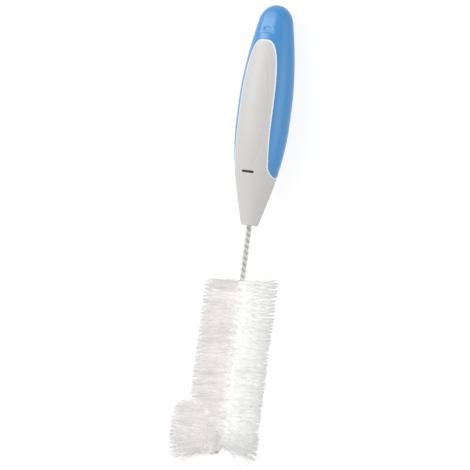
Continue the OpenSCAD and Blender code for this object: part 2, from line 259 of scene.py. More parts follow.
class Shell:
    """Grids of points that together make one closed surface."""

    def __init__(self):
        self.points = []
        self.faces = []
        self.values = {}
        self.count = 0

    def add(self, points, **values):
        """Adds a grid of shape (rows, columns, 3). values are grids of shape (rows, columns)."""
        rows, columns = points.shape[:2]
        self.faces.append(grid_faces(rows, columns, self.count))
        self.points.append(points.reshape(-1, 3))
        for name in set(self.values) | set(values):
            column = self.values.setdefault(name, [np.zeros(self.count)])
            column.append(np.broadcast_to(values.get(name, 0.0), (rows, columns)).ravel())
        self.count += rows * columns

    def mirror(self):
        """Adds the mirror image of everything on the other side of y = 0."""
        points = np.concatenate(self.points)
        faces = np.concatenate(self.faces)
        self.points = [points, points * (1, -1, 1)]
        self.faces = [faces, faces[:, ::-1] + self.count]
        for name, column in self.values.items():
            self.values[name] = [np.concatenate(column)] * 2
        self.count *= 2

    def build(self, name):
        """The mesh object of all grids, laid down and welded along their common edges."""
        own = np.concatenate(self.points)
        mesh = new_mesh(name, laid_down(own), [np.concatenate(self.faces)])
        write_values(mesh, "own_place", own)
        for key, column in self.values.items():
            write_values(mesh, key, np.concatenate(column))
        weld(mesh)
        return show(mesh)


def weld(mesh, gap=1e-6):
    """Merges points closer than gap and turns faces outward. An open shell is an error."""
    bm = bmesh.new()
    bm.from_mesh(mesh)
    bmesh.ops.remove_doubles(bm, verts=bm.verts, dist=gap)
    bmesh.ops.recalc_face_normals(bm, faces=bm.faces)
    closed = all(len(edge.link_faces) == 2 for edge in bm.edges)
    bm.to_mesh(mesh)
    bm.free()
    if not closed:
        raise RuntimeError(f"{mesh.name} isn't closed")
    mesh.shade_smooth()


def unit(vectors):
    """Vectors of the same directions with length 1."""
    return vectors / np.linalg.norm(vectors, axis=-1, keepdims=True)


def show(mesh):
    """An object at the origin for a mesh."""
    piece = bpy.data.objects.new(mesh.name, mesh)
    bpy.context.scene.collection.objects.link(piece)
    return piece


def finish_piece(piece, material, node):
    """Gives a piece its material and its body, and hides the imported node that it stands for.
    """
    piece.data.materials.append(material)
    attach(piece, BODY)
    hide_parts(node)


# ---- the handle's form ----


class HandleForm:
    """The oval of the handle, its seam and its cap, as functions of arrays."""

    # the taper and the round end
    butt_r = 9.7 * MM
    taper_power = 1.75
    dome_start = 138 * MM
    dome_power = 2.8
    core_end = 128 * MM
    # the nose: its rounded edge, the rings of its flat face, and the blind bore. The bore's
    # corner lies as far outside its wall as it does below the face, in reverse order.
    nose_edge = 0.8 * MM
    face_rings = np.array([4.6, 3.2]) * MM
    bore_r = 2.22 * MM
    bore_corner = np.array([0.25, 0.08, 0.0]) * MM
    bore_ring = 3 * MM
    bore_depth = 26 * MM
    # the window and its rim, the thumb pad and the crease beside the pad
    window_power = 3.4
    bead_power = 0.8
    # where the painted highlight on the rim fades out, in shares of bead_width
    rim_highlight_edge = (0.5, 1.3)
    pad_share = 0.845
    pad_blend = 0.05 * MM
    crease_depth = 0.1 * MM
    crease_width = 0.4 * MM
    crease_fade = 0.15
    # the slot: its place, its width and length, and from where to where its edge falls
    slot_at = 36 * MM
    slot_size = (1.7 * MM, 9.4 * MM)
    slot_depth = 0.35 * MM
    slot_edge = (-0.12 * MM, 0.16 * MM)
    # the cap, with its ledge, its crown and its pocket
    cap_at = 130.4 * MM
    cap_drop = 1.0 * MM
    cap_crown = 48 * MM
    cap_arch = 22 * MM
    arch_share = 0.38
    arch_starts = -1.2 * MM
    arch_ends = (1.5 * MM, 14 * MM)
    cap_ease = math.radians(6)
    ledge_edge = (-0.25 * MM, 0.3 * MM)
    crown_blend = 0.05
    pocket_up = 2.8 * MM
    pocket_size = (2.3 * MM, 6.0 * MM)
    pocket_depth = 0.4 * MM
    pocket_edge = (-0.16 * MM, 0.2 * MM)
    pocket_ease = 0.2

    def __init__(self, sizes, gap=0.0):
        """gap moves the seam away from the window, for the grip's side of it."""
        self.s = sizes
        self.gap = gap
        self.belly_r = sizes.width / 2
        self.nose_r = sizes.nose_width / 2
        self.flat = sizes.thickness / sizes.width
        self.tip = sizes.lobe_start + gap
        self.top = sizes.window_end + gap

    def half_width(self, x):
        """Half the handle's width at x.

        It rises with a quarter of a sine wave from the nose to belly_start, stays level to
        belly_end, and tapers from there toward butt_r with the taper_power of the way along
        it. Past dome_start it is closed by a quarter of a superellipse.
        """
        s = self.s
        rise = np.sin(math.pi / 2 * np.clip(x / s.belly_start, 0, 1))
        u = np.clip((x - s.belly_end) / (s.full_length - s.belly_end), 0, 1)
        v = np.clip((x - self.dome_start) / (s.full_length - self.dome_start), 0, 1)
        taper = self.belly_r - (self.belly_r - self.butt_r) * u ** self.taper_power
        return np.where(x <= s.belly_end, self.nose_r + (self.belly_r - self.nose_r) * rise,
                        taper * np.sqrt(1 - v ** self.dome_power))

    def oval(self, x, turn, sink=0.0):
        """Points of the oval at x, turned from the front by turn, sink below the surface."""
        r = self.half_width(x) - sink
        return np.stack(np.broadcast_arrays(x, r * np.sin(turn), self.flat * r * np.cos(turn)),
                        -1)

    def window_half(self, x):
        """Half the window's width at x: straight sides that close in a full arch.

        The arch is a quarter of a superellipse: 1 less the square of the way along it, to
        the power of 1 / window_power.
        """
        s = self.s
        u = np.clip((x - s.window_end + s.window_arch) / (s.window_arch + self.gap), 0, 1)
        return (s.window_width / 2 + self.gap) * (1 - u * u) ** (1 / self.window_power)

    def seam_turn(self, x):
        """Turn from the front at which the seam lies at x.

        The seam is where the grip starts: beside the window's edge, and within the
        ellipse that rounds the lower end of the flank.
        """
        s = self.s
        r = np.maximum(self.half_width(x), 1e-9)
        beside = np.arcsin(np.clip(self.window_half(x) / r, 0, 1))
        u = np.clip(1 - (x - self.tip) / s.lobe_round, 0, 1)
        lobe = (s.lobe_height / 2 - self.gap) * np.sqrt(1 - u * u)
        within = np.where(x - self.tip >= s.lobe_round, 0,
                          np.arccos(np.clip(lobe / (self.flat * r), 0, 1)))
        turn = np.maximum(beside, within)
        turn = np.where(x <= self.tip, math.pi / 2, turn)
        return np.where(x >= self.top, 0.0, turn)

    def crease(self, points, high, wide):
        """1 on the line where the pad leaves the window, falling to 0 beside it.

        high and wide are the half axes of the pad's own oval. The two ovals meet at the
        turn whose squared tangent is the ratio of the differences of their inverse squares.
        """
        r = self.half_width(points[..., 0])
        over = np.maximum((self.flat * r) ** -2 - high ** -2, 0)
        beside = np.maximum(wide ** -2 - r ** -2, 1e-3)
        meet = np.arctan(np.sqrt(over / beside))
        along = self.flat * r * (np.abs(polar(points)[1]) - meet)
        return bell(along / self.crease_width) * smooth_step(meet, 0.0, self.crease_fade)

    def strip_stations(self, count):
        """Stations from the flank's tip to the window's top, dense at both ends.

        They are even turns round half a circle, seen from the side.
        """
        u = (1 - np.cos(math.pi * np.arange(count) / (count - 1))) / 2
        return self.tip + (self.top - self.tip) * u

    def seam_distance(self, points, stations=240):
        """Distance of points of the side y > 0 from the seam: the least to its short steps."""
        x = self.strip_stations(stations)
        turn = self.seam_turn(x)
        front = self.oval(x, turn)
        back = self.oval(x, math.pi - turn)
        line = np.concatenate([front[::-1], back[1:]])
        a, b = line[:-1], line[1:]
        step = b - a
        size2 = np.maximum((step ** 2).sum(1), 1e-18)
        given = points.reshape(-1, 3)
        out = np.empty(len(given))
        block = 4096
        for k in range(0, len(given), block):
            off = given[k:k + block, None, :] - a
            t = np.clip((off * step).sum(-1) / size2, 0, 1)
            out[k:k + block] = np.sqrt(((off - t[..., None] * step) ** 2).sum(-1).min(1))
        return out.reshape(points.shape[:-1])


def polar(points):
    """Distance of points from the x axis, and their turn round it from the front."""
    y, z = points[..., 1], points[..., 2]
    return np.hypot(y, z), np.arctan2(y, z)


def wrapped(angle):
    """Angles brought to within half a turn of 0."""
    return np.mod(angle + math.pi, 2 * math.pi) - math.pi


def bell(x):
    """A bell curve: exp of minus the square of x."""
    return np.exp(-x * x)


def smooth_max(a, b, blend):
    """The larger of a and b, with the corner between them rounded over about blend."""
    return (a + b + np.sqrt((a - b) ** 2 + blend * blend)) / 2


def smooth_step(x, low, high):
    """Rises smoothly from 0 at low to 1 at high."""
    t = np.clip((x - low) / (high - low), 0, 1)
    return t * t * (3 - 2 * t)


def stadium(along, across, size):
    """Distance outside a slot with round ends, size = (width along, length across)."""
    half = (size[1] - size[0]) / 2
    return np.hypot(along, np.maximum(np.abs(across) - half, 0)) - size[0] / 2


def soft_box(along, across, size, ease):
    """Distance outside a box, size = (width along, length across), less at its ends by ease."""
    return np.maximum(np.abs(along) - size[0] / 2, ease * (np.abs(across) - size[1] / 2))


def spread(count, growth):
    """Values from 0 to 1 whose steps grow by the factor exp(growth) from first to last."""
    v = np.arange(count) / (count - 1)
    return np.expm1(growth * v) / math.expm1(growth)


def both_ends(count, growth):
    """Values from 0 to 1 with short steps at both ends."""
    half = spread(count // 2 + 1, growth) / 2
    return np.concatenate([half, 1 - half[-2::-1]])


def lip_drop(distance, radius):
    """How far a rounded edge of that radius has dropped at a distance from the edge."""
    u = np.clip(1 - distance / radius, 0, 1)
    return radius * (1 - np.sqrt(1 - u * u))


def hard_moulding(sizes):
    """The white moulding: nose, both windows with their rims, pad, slot and hidden core.

    Half of it is drawn, y >= 0: the front from the middle to the seam, the back from the
    seam to the middle, the nose, its end with the bore, and the core under the grip.
    """
    form = HandleForm(sizes)
    shell = Shell()
    rows, nose_rows, front_columns, back_columns = 170, 54, 112, 56
    to_seam = crowded(front_columns)
    from_seam = crowded(back_columns)[::-1]
    x = form.strip_stations(rows)[:, None]
    seam = form.seam_turn(x)
    front, rim = outer_surface(form, x, seam * to_seam)
    front = with_slot(with_pad(front, form), form)
    shell.add(front, rim=rim)
    back, rim = outer_surface(form, x, math.pi - seam * from_seam)
    shell.add(back, rim=rim)

    toward_flank = 1 - spread(nose_rows, 3.0)[::-1]
    nose_x = form.nose_edge + (sizes.lobe_start - form.nose_edge) * toward_flank[:, None]
    turn = np.concatenate([math.pi / 2 * to_seam, math.pi - math.pi / 2 * from_seam[1:]])
    nose, rim = outer_surface(form, nose_x, turn[None, :])
    shell.add(nose, rim=rim)
    shell.add(nose_end(form, turn[None, :]))
    add_core(shell, form, (front[:, -1], back[:, 0]), sizes.skin, form.core_end)
    shell.mirror()
    return shell.build("handle_moulding")


def add_core(shell, form, edges, sink, end):
    """Adds the hidden inner side of half a moulding: the oval, sunk by sink.

    It goes from seam to seam beside the window, round the whole half turn from the
    window's top to end, and is flat there. edges are the outside's lines at both seams.
    """
    rows, columns = 6, 24
    half_turn = math.pi * np.linspace(0, 1, columns)[None, :]
    x = form.strip_stations(len(edges[0]))[:, None]
    seam = form.seam_turn(x)
    core = form.oval(x, seam + (1 - 2 * seam / math.pi) * half_turn, sink)
    under = form.oval(np.linspace(form.top, end, rows)[:, None], half_turn, sink)
    for part in (core, wall(edges[0], core[:, 0]), wall(edges[1], core[:, -1]), under,
                 closed_end(under[-1])):
        shell.add(part)


def crowded(count):
    """Values from 0 to 1 whose steps get a little shorter: even values to the power 0.8."""
    return np.linspace(0, 1, count) ** 0.8


def outer_surface(form, x, turn):
    """Points of the white outside at x and turn, and the mask of the painted highlight: 1 on the
    window's rim, 0 past it.

    Each point is the oval's point times a factor. Beside the seam the rim stands out as a
    low cosine bead, and at the seam itself the surface drops by a quarter round.
    """
    base = form.oval(x, turn)
    near = form.seam_distance(base)
    lift = bead(near, form) - lip_drop(near, form.s.lip)
    # mask of the painted highlight on the rim
    rim = 1 - smooth_step(near / form.s.bead_width, *form.rim_highlight_edge)
    return scaled(base, 1 + lift / form.half_width(x)), rim


def with_pad(points, form):
    """Raises the thumb pad: the larger of the surface and the pad's own rounder oval.

    The pad's height is the handle's, plus pad_rise times 1 less the square of the way from
    its middle to its tips. A shallow crease marks where it leaves the window.
    """
    s = form.s
    middle = (s.pad_start + s.pad_end) / 2
    half = (s.pad_end - s.pad_start) / 2
    u = (points[..., 0] - middle) / half
    high = form.flat * form.half_width(points[..., 0]) + s.pad_rise * (1 - u * u)
    wide = form.pad_share * high / form.flat
    rho, turn = polar(points)
    own = 1 / np.hypot(np.sin(turn) / wide, np.cos(turn) / high)
    a_little_past = 1.1
    inside = (np.abs(u) < a_little_past) & (np.abs(turn) < math.pi / 2)
    risen = smooth_max(rho, own, form.pad_blend)
    risen = risen - form.crease_depth * form.crease(points, high, wide)
    return scaled(points, np.where(inside, risen / rho, 1))


def with_slot(points, form):
    """Sinks the slot below the pad by slot_depth, with soft edges."""
    away = stadium(points[..., 0] - form.slot_at, points[..., 1], form.slot_size)
    depth = form.slot_depth * smooth_step(-away, *form.slot_edge)
    return scaled(points, 1 - depth / polar(points)[0])


def nose_end(form, turn):
    """Rings of the nose's rounded edge, its flat face and the blind bore of the wire.

    The edge is a quarter round. The rings of the bore and of its corner are round, and
    those outside them have the handle's own flatness.
    """
    quarter = np.linspace(math.pi / 2, 0, 9)
    edge_r = form.half_width(form.nose_edge) - form.nose_edge * (1 - np.sin(quarter))
    edge_x = form.nose_edge * (1 - np.cos(quarter))
    corner_r = form.bore_r + form.bore_corner
    r = np.concatenate([edge_r, form.face_rings, corner_r, [form.bore_r, form.bore_r, 0]])
    x = np.concatenate([edge_x, 0 * form.face_rings, form.bore_corner[::-1],
                        [form.bore_ring, form.bore_depth, form.bore_depth]])
    r, x = r[:, None], x[:, None]
    flat = np.where(r > corner_r[0], form.flat, 1.0)
    return np.stack(np.broadcast_arrays(x, r * np.sin(turn), r * flat * np.cos(turn)), -1)


def scaled(points, factor):
    """Points moved from or toward the x axis by a factor."""
    out = points.copy()
    out[..., 1:] *= np.asarray(factor)[..., None]
    return out


def bead(near, form):
    """Height of the window's rim: one cosine wave across bead_width, to bead_power."""
    u = np.clip(near / form.s.bead_width, 0, 1)
    wave = 0.5 + 0.5 * np.cos(math.pi * (2 * u - 1))
    return form.s.bead_rise * wave ** form.bead_power


def wall(upper, lower, steps=3):
    """A grid of rows between two lines of points."""
    t = np.linspace(0, 1, steps)[None, :, None]
    return upper[:, None, :] * (1 - t) + lower[:, None, :] * t


def closed_end(line, steps=4):
    """A grid from a line of points to its pole on the x axis."""
    t = np.linspace(1, 0, steps)[:, None, None]
    pole = line.mean(0) * (1, 0, 0)
    return pole + (line - pole)[None] * t


def soft_grip(sizes):
    """The blue grip: both flanks and the butt, over the hard core.

    Half of it is drawn, y >= 0. Its outside is the oval with a quarter-round lip at the
    seam. The cap on the front of the butt is where a cylinder of radius cap_crown, lying
    across the handle, is lower than the oval. It starts with a step at an arched ledge.
    """
    seam_gap, core_gap = 0.03 * MM, 0.02 * MM
    form = HandleForm(sizes, seam_gap)
    shell = Shell()
    rows, columns = 220, 96
    x = np.concatenate([form.strip_stations(rows), butt_stations(form)[1:]])[:, None]
    seam = form.seam_turn(x)
    turn = seam + (math.pi - 2 * seam) * both_ends(columns, 3.2)[None, :]
    base = form.oval(with_arch(form, x, turn), turn)
    outside = capped(base, x + 0 * turn, form)
    drop = lip_drop(form.seam_distance(base), sizes.lip)
    outside = scaled(outside, 1 - drop / np.maximum(polar(base)[0], sizes.lip * 2))
    shell.add(outside)
    add_core(shell, form, (outside[:rows, 0], outside[:rows, -1]), sizes.skin - core_gap,
             form.core_end + seam_gap)
    shell.mirror()
    return shell.build("grip_moulding")


def butt_stations(form):
    """Stations from the window's top to the butt, dense at the ledge, pocket and dome."""
    past_ledge = np.array([-1.2, -0.1, 0.3, 1.3, 4.4, 8.0]) * MM
    marks = [form.top, *(form.cap_at + past_ledge)]
    counts = [12, 9, 9, 7, 34, 10]
    parts = [np.linspace(a, b, n, endpoint=False)
             for a, b, n in zip(marks, marks[1:], counts)]
    quarter = np.linspace(0, math.pi / 2, 44)
    dome = marks[-1] + (form.s.full_length - marks[-1]) * np.sin(quarter)
    return np.concatenate(parts + [dome])


def with_arch(form, x, turn):
    """Stations pulled back toward the nose at the sides, so that rows follow the ledge.

    The pull is how far an arc of radius cap_arch has fallen back at its distance from the
    middle. It fades out away from the ledge and toward the back of the handle.
    """
    y = np.minimum(form.half_width(x) * np.sin(turn), form.arch_share * form.cap_arch)
    pull = form.cap_arch - np.sqrt(form.cap_arch ** 2 - y * y)
    rise = smooth_step(x, form.top, form.cap_at + form.arch_starts)
    fall = smooth_step(x - form.cap_at, *form.arch_ends)
    front = smooth_step(np.cos(turn), -0.1, 0.3)
    return x - pull * rise * (1 - fall) * front


def capped(points, row_x, form):
    """Lowers the front of the butt to the crown of the cap, past the ledge.

    The crown is an arc of radius cap_crown. Where it starts it lies cap_drop below the
    oval and slopes cap_ease less than it. The pocket is sunk in the crown.
    """
    least_z = 0.2 * MM
    before, at, after = form.flat * form.half_width(form.cap_at + np.array([-MM, 0, MM]))
    lean = math.atan((before - after) / (2 * MM)) - form.cap_ease
    middle_x = form.cap_at - form.cap_crown * math.sin(lean)
    middle_z = at - form.cap_drop - form.cap_crown * math.cos(lean)
    x, y, z = np.moveaxis(points, -1, 0)
    crown = middle_z + np.sqrt(np.clip(form.cap_crown ** 2 - (x - middle_x) ** 2, 0, None))
    away = soft_box(x - form.cap_at - form.pocket_up, y, form.pocket_size, form.pocket_ease)
    crown = crown - form.pocket_depth * smooth_step(-away, *form.pocket_edge)
    ratio = np.where(z > least_z, crown / np.maximum(z, least_z), 10.0)
    low = -smooth_max(-1, -ratio, form.crown_blend)
    past = smooth_step(row_x - form.cap_at, *form.ledge_edge)
    return scaled(points, np.where(z > 0, 1 + (low - 1) * past, 1))


# ---- the wire ----


class WireForm:
    """The centre line of the wire and the twist round it, as functions of arrays."""

    loop_r = 1.6 * MM
    loop_lead = 1.5 * MM
    strand_gap = 0.02 * MM

    def __init__(self, sizes):
        self.s = sizes
        self.bend_r = sizes.fold_gap / 2
        self.down = sizes.anchor + sizes.bend_at
        self.turn = self.bend_r * math.pi
        self.full = self.down + self.turn + sizes.arm
        self.twisted = self.full - self.loop_lead
        self.off = sizes.strand / 2 + self.strand_gap
        self.fold = np.array([0, math.sin(sizes.fold_turn), math.cos(sizes.fold_turn)])

    def frame_at(self, s):
        """Place, direction and outward normal of the centre line at distance s.

        It runs straight from the anchor to the bend, round half a circle of radius
        bend_r, and straight back.
        """
        s = np.asarray(s, float)[..., None]
        along = np.array([1.0, 0, 0])
        a = np.clip((s - self.down) / self.bend_r, 0, math.pi)
        out = -np.cos(a) * self.fold - np.sin(a) * along
        heading = np.sin(a) * self.fold - np.cos(a) * along
        middle = along * -self.s.bend_at + self.fold * self.bend_r
        on_arc = middle + self.bend_r * out
        before = np.clip(self.down - s, 0, None)
        after = np.clip(s - self.down - self.turn, 0, None)
        return on_arc + along * (before + after), heading, out

    def around(self, s, angle):
        """Unit vector square to the centre line, turned by angle from the outward normal."""
        _, heading, out = self.frame_at(s)
        angle = np.asarray(angle)[..., None]
        return np.cos(angle) * out + np.sin(angle) * np.cross(heading, out)

    def twist(self, s):
        """Angle of the first strand at distance s: a left-hand screw of one pitch a turn."""
        return -2 * math.pi * np.minimum(s, self.twisted) / self.s.pitch

    def strand(self, s, phase):
        """Centre line of the strand with that phase at distances s."""
        place, _, _ = self.frame_at(s)
        opening = np.clip(s - self.twisted, 0, None) / self.loop_lead
        off = self.off + (self.loop_r - self.off) * opening
        return place + off[..., None] * self.around(s, phase + self.twist(s))

    def loop(self, a):
        """Half circle that joins the strands at the tip, from a = 0 to a = pi."""
        place, heading, _ = self.frame_at(self.full)
        side = self.around(self.full, self.twist(self.full))
        return place + self.loop_r * (np.cos(a)[:, None] * side + np.sin(a)[:, None] * heading)


def tube(line, radius, sides):
    """Grid of a round tube along a line of points, closed at both ends by its poles.

    The rings stand square to the line. Each ring's first side is the last ring's, turned
    with the line: the sum of the small turns is taken out by a parallel frame.
    """
    heading = unit(np.gradient(line, axis=0))
    side = parallel_sides(heading)
    other = np.cross(heading, side)
    a = np.linspace(0, 2 * math.pi, sides + 1)[None, :, None]
    ring = np.cos(a) * side[:, None] + np.sin(a) * other[:, None]
    body = line[:, None] + radius * ring
    poles = [np.broadcast_to(end.mean(0), (1, *end.shape)) for end in (body[0], body[-1])]
    return np.concatenate([poles[0], body, poles[1]])


def parallel_sides(heading):
    """Side vectors that follow a line of headings without twisting round it."""
    sides = np.empty_like(heading)
    askew = (0.3, 0.5, 0.8)
    sides[0] = unit(np.cross(heading[0], askew))
    for i in range(1, len(heading)):
        sides[i] = unit(sides[i - 1] - heading[i] * (sides[i - 1] @ heading[i]))
    return sides


def twisted_wire(sizes):
    """One wire: down as the first strand, round the closing loop and back as the second."""
    form = WireForm(sizes)
    rings_per_turn, sides = 20, 12
    count = int(round(form.twisted / sizes.pitch * rings_per_turn))
    s = np.concatenate([np.linspace(0, form.twisted, count),
                        form.twisted + form.loop_lead * np.array([0.35, 0.7, 1.0])])
    arc = np.linspace(0, math.pi, 10)[1:-1]
    line = np.concatenate([form.strand(s, 0.0), form.loop(arc),
                           form.strand(s, math.pi)[::-1]])
    shell = Shell()
    shell.add(tube(line, sizes.strand / 2, sides))
    return shell.build("twisted_wire")


# ---- the bristles ----


class BristleForm:
    """Where the filaments go: round the stem, splayed at the bend and parted at the toe."""

    # each filament: its scatter round the wire and along it, length, bow and tone, and the
    # share of strays. Lengths are shares of the head's radius
    scatter = math.radians(55)
    lean_scatter = math.radians(3)
    fan_scatter = 3
    root_spread = 1.9 * MM
    full = 1.012
    uneven = 0.024
    longest = 1.02
    curl = 0.07
    own_tone = 0.15
    strays = 0.012
    stray_lean = math.radians(12)
    # clumps: how many cells along and round, with how many values, their size and shifts,
    # and how much they draw, lengthen, bow and tint their filaments
    cells = (96, 20, 5)
    clump_len = 2.4 * MM
    column_start = math.radians(8)
    column_shift = 7.3
    cell_shift = 0.25
    pull = 0.9
    least_pull = 0.4
    clump_reach = 0.010
    clump_curl = 0.04
    clump_tone = 0.16
    # the parting between the two arms of the wire
    free_angle = math.radians(60)
    side_step = math.radians(60)
    parting_lead = 5 * MM
    parting_run = 4 * MM
    # the foot of the stem, with its slit on both sides of the fold
    foot_len = 17 * MM
    foot_side = math.radians(98)
    foot_step = math.radians(9)
    end_splay = math.radians(19)
    splay_len = 18 * MM
    side_width = math.radians(28)
    side_loss = 0.9
    # the leaning rows of the stem
    row_lean = math.radians(6)
    row_side = math.radians(122)
    # the bend and the toe
    bend_cover = math.radians(80)
    bend_side = math.radians(76)
    bend_ease = math.radians(12)
    toe_wrap = 40 / 180
    toe_back = 0.45
    toe_cut = 3 * MM
    toe_cut_len = 13 * MM
    # painted light on the filaments: a painted highlight along the seam of the stem, painted
    # shade in the slit at its foot, and painted shade on one half of the stem
    seam_turn = math.radians(30.5)
    painted_highlight_width = math.radians(5)
    painted_highlight_wave = math.radians(4)
    seam_pitch = 5 * MM
    painted_highlight_tone = 2.0
    slit_shade_width = math.radians(13)
    painted_slit_shade = 1.5
    shaded_half_sway = 1.2 * MM
    shaded_half_ease = 1.3 * MM
    # the tips end above the floor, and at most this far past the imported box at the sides
    clearance = 0.05 * MM
    proud = 0.7 * MM

    def __init__(self, sizes, wire):
        self.s = sizes
        self.wire = wire
        self.r = sizes.head / 2
        self.row_dir = np.array([0, -math.sin(self.row_side), math.cos(self.row_side)])
        # points to the half of the stem that is painted lighter; the other half gets painted
        # shade
        self.toward_lit_half = np.array([0, -math.cos(self.seam_turn), -math.sin(self.seam_turn)])

    def stem(self):
        """First and last distance along the wire that the stem's bristles take."""
        last = self.wire.down
        return last - self.s.run, last

    def toe(self):
        """First and last distance along the wire that the toe's bristles take."""
        return self.wire.down + self.wire.bend_r * self.bend_cover, self.wire.twisted

    def parted(self, angle, force):
        """Angles moved aside where the other arm of the wire stands in the way.

        Up to free_angle from the side turned away from the other arm they stay as they
        are. Past it they close in on a limit that keeps the filaments clear of the other
        arm, as 1 - exp(-t) closes in on 1, so that they crowd along the parting.
        """
        b = wrapped(angle)
        room = math.pi - self.side_step - self.free_angle
        most = math.pi - self.free_angle
        past = np.maximum(np.abs(b) - self.free_angle, 0)
        crowd = room * (1 - np.exp(-past / room)) / (1 - np.exp(-most / room))
        return np.sign(b) * (np.minimum(np.abs(b), self.free_angle)
                             + past + force * (crowd - past))

    def foot(self, s):
        """Share that grows from 0 to 1 over the last foot_len of the stem."""
        return np.clip(1 - (self.wire.down - s) / self.foot_len, 0, 1)

    def off_foot(self, angle):
        """How far angles lie from foot_side, on either side of the fold."""
        return np.abs(wrapped(angle)) - self.foot_side

    def split(self, angle, s):
        """Angles with a slit opened at the foot of the stem, on the two sides of the fold.

        Angles near foot_side move away from it by foot_step times a bell curve.
        """
        off = self.off_foot(angle)
        away = self.foot_step * self.foot(s) * bell(off / self.foot_step)
        b = wrapped(angle)
        return np.sign(b) * (np.abs(b) + np.sign(off) * away)

    def round_bend(self, angle, s):
        """Angles turned to the two sides of the fold where the wire bends.

        The outward filaments start where toe_wrap says. Before that the whole circle of
        angles is squeezed into what lies more than bend_side from the outward direction.
        """
        a = (s - self.wire.down) / self.wire.bend_r
        edge = math.pi * (1 - self.toe_wrap)
        least = self.bend_side * np.clip((edge - a) / self.bend_ease, 0, 1)
        b = wrapped(angle)
        return np.sign(b) * (least + np.abs(b) * (1 - least / math.pi))

    def sideward(self, angle):
        """Share of the splay: 1 less side_loss times a bell curve round foot_side."""
        return 1 - self.side_loss * bell(self.off_foot(angle) / self.side_width)

    def seam(self, angle, s):
        """Painted highlight on the filaments along the seam of the stem, on the sides of the
        fold.

        A bell curve of painted_highlight_width round foot_side, which sways by
        painted_highlight_wave in a sine wave of seam_pitch. Toward the foot a darker bell curve
        of slit_shade_width, painted shade in the slit, takes its place.
        """
        off = self.off_foot(angle)
        sway = self.painted_highlight_wave * np.sin(2 * math.pi * s / self.seam_pitch)
        foot = self.foot(s)
        return self.painted_highlight_tone * (1 - foot) * bell((off - sway) / self.painted_highlight_width) \
            - self.painted_slit_shade * foot * bell(off / self.slit_shade_width)

    def force(self, s):
        """Share of the full parting at distance s along the stem."""
        sizes = self.wire.s
        arm_tip = sizes.arm - sizes.bend_at + self.wire.loop_r + sizes.strand / 2
        past = sizes.anchor - s - arm_tip + self.parting_lead
        return np.clip(1 - past / self.parting_run, 0, 1)

    def fan(self, s, on_toe):
        """Lean of the bristles along the wire at distance s, where they fan out.

        At the foot of the stem it grows to end_splay. On the toe it takes back a part of
        the turn of the bend.
        """
        if on_toe:
            a = math.pi - (s - self.wire.down) / self.wire.bend_r
            return self.toe_back * np.clip(a, 0, math.pi * self.toe_wrap)
        foot = s - self.wire.down + self.splay_len
        return self.end_splay * np.clip(foot / self.splay_len, 0, 1)


def clumped(form, along, angle, cells):
    """Way of each filament's tip to the middle of its clump, and the clump's values.

    The tips lie in cells of clump_len along the stem, in equal columns round it. Each
    column is shifted by its own amount, and each cell's middle is moved a little, so that
    no grid shows. Returns the distance to the middle, along and round, and the values of
    the cell.
    """
    columns = cells.shape[1]
    turn = 2 * math.pi / columns
    own = np.mod(angle - form.column_start, 2 * math.pi)
    column = np.floor(own / (2 * math.pi) * columns).astype(int) % columns
    shifted = along / form.clump_len + form.column_shift * cells[0, column, 3]
    row = np.floor(shifted).astype(int)
    cell = cells[row % len(cells), column]
    to_row = (row + 0.5 + form.cell_shift * cell[:, 0] - shifted) * form.clump_len
    to_column = (column + 0.5 + form.cell_shift * cell[:, 1]) * turn - own
    return to_row, to_column, cell


def filament_lines(form, s, on_toe, rng):
    """Points of the filaments held at distances s, as an array (filament, ring, 3).

    Each filament passes between the strands, square to the line that joins them, and runs out on
    both sides. A half is a parabola: it leaves the wire in the held direction and its tip is
    drawn toward the middle of its clump. Returns the lines and the tone_and_painted_light of
    each filament: its own and its clump's tone, with the painted highlight along the seam and
    the painted shade in the slit.
    """
    wire, count = form.wire, len(s)
    cells = rng.normal(size=form.cells)
    place, heading, _ = wire.frame_at(s)
    tone_and_painted_light = 0.5 + form.own_tone * rng.normal(size=count)
    sideways = rng.uniform(-form.root_spread, form.root_spread, count)
    t = np.linspace(0, 1, 5)[None, :, None]
    halves = []
    for end in (0, 1):
        own = rng.normal(size=(count, 4))
        angle = wire.twist(s) + math.pi / 2 + math.pi * end + form.scatter * own[:, 0]
        fan = form.fan(s, on_toe)
        if on_toe:
            angle = form.parted(form.round_bend(angle, s), 1.0)
        else:
            angle = form.split(form.parted(angle, form.force(s)), s)
            fan = fan * form.sideward(angle)
            # adds the painted highlight along the seam and the painted shade in the slit at the
            # foot
            tone_and_painted_light = tone_and_painted_light + form.seam(angle, s)
        held = wire.around(s, angle)
        lean = form.lean_scatter * own[:, 1] * (1 + form.fan_scatter * fan) + fan
        stray = rng.random(count) < form.strays
        lean = lean + np.where(stray, form.stray_lean * own[:, 2], 0)
        if not on_toe:
            lean = lean - form.row_lean * (held @ form.row_dir)
        to_row, to_column, cell = clumped(form, s + form.r * np.sin(lean), angle, cells)
        share = form.least_pull + (1 - form.least_pull) * rng.random(count)
        pull = np.where(stray, 0, form.pull * share)
        lean = lean + pull * to_row / form.r
        out = wire.around(s, angle + pull * to_column)
        tip_dir = np.cos(lean)[:, None] * out + np.sin(lean)[:, None] * heading
        reach = form.full - form.uneven * np.abs(own[:, 3]) + form.clump_reach * cell[:, 2]
        reach = form.r * np.minimum(reach, form.longest)
        if on_toe:
            near_tip = np.clip(1 - (wire.twisted - s) / form.toe_cut_len, 0, 1)
            reach = reach - form.toe_cut * near_tip ** 2
        else:
            reach = reach / np.cos(fan)
        reach = reach[:, None]
        curl = form.curl * rng.normal(size=(count, 3)) + form.clump_curl * cell[:, 2:5]
        root = place + sideways[:, None] * np.cross(held, heading)
        middle = root + 0.5 * reach * (0.5 * (tip_dir + held) + curl)
        tip = place + reach * tip_dir
        halves.append((1 - t) ** 2 * root[:, None] + 2 * t * (1 - t) * middle[:, None]
                      + t * t * tip[:, None])
        tone_and_painted_light = tone_and_painted_light + form.clump_tone * cell[:, 4]
    return np.concatenate([halves[0][:, ::-1], halves[1][:, 1:]], axis=1), tone_and_painted_light


